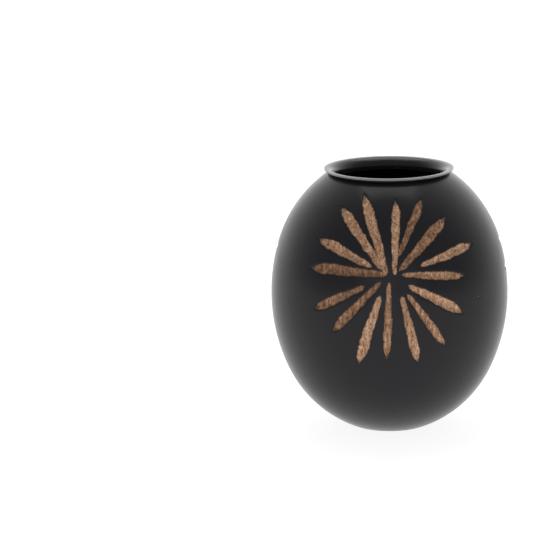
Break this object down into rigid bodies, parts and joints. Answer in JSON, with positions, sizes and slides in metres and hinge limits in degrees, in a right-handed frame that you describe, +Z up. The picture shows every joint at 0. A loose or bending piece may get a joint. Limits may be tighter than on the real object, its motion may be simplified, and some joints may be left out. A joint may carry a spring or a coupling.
{
  "type": "carved pot",
  "caption": "Round black pot with a flared lip, a wide open neck and carved sunbursts that cut through the finish to the brown material under it.",
  "frame": {"origin": "centre of the foot, on the surface that the pot stands on", "axes": "+Z up through the mouth, -Y towards the front sunburst, +X to its right"},
  "size_m": [0.2305, 0.2306, 0.254],
  "materials": {
    "black_body": "satin black finish, carved through to bare tan-brown wood",
    "black_collar": "satin black finish",
    "bare_wood": "sanded, unfinished"
  },
  "bodies": {
    "root": {"pot_body": "black_body", "neck_collar": "black_collar", "base_plug": "bare_wood"}
  },
  "joints": []
}
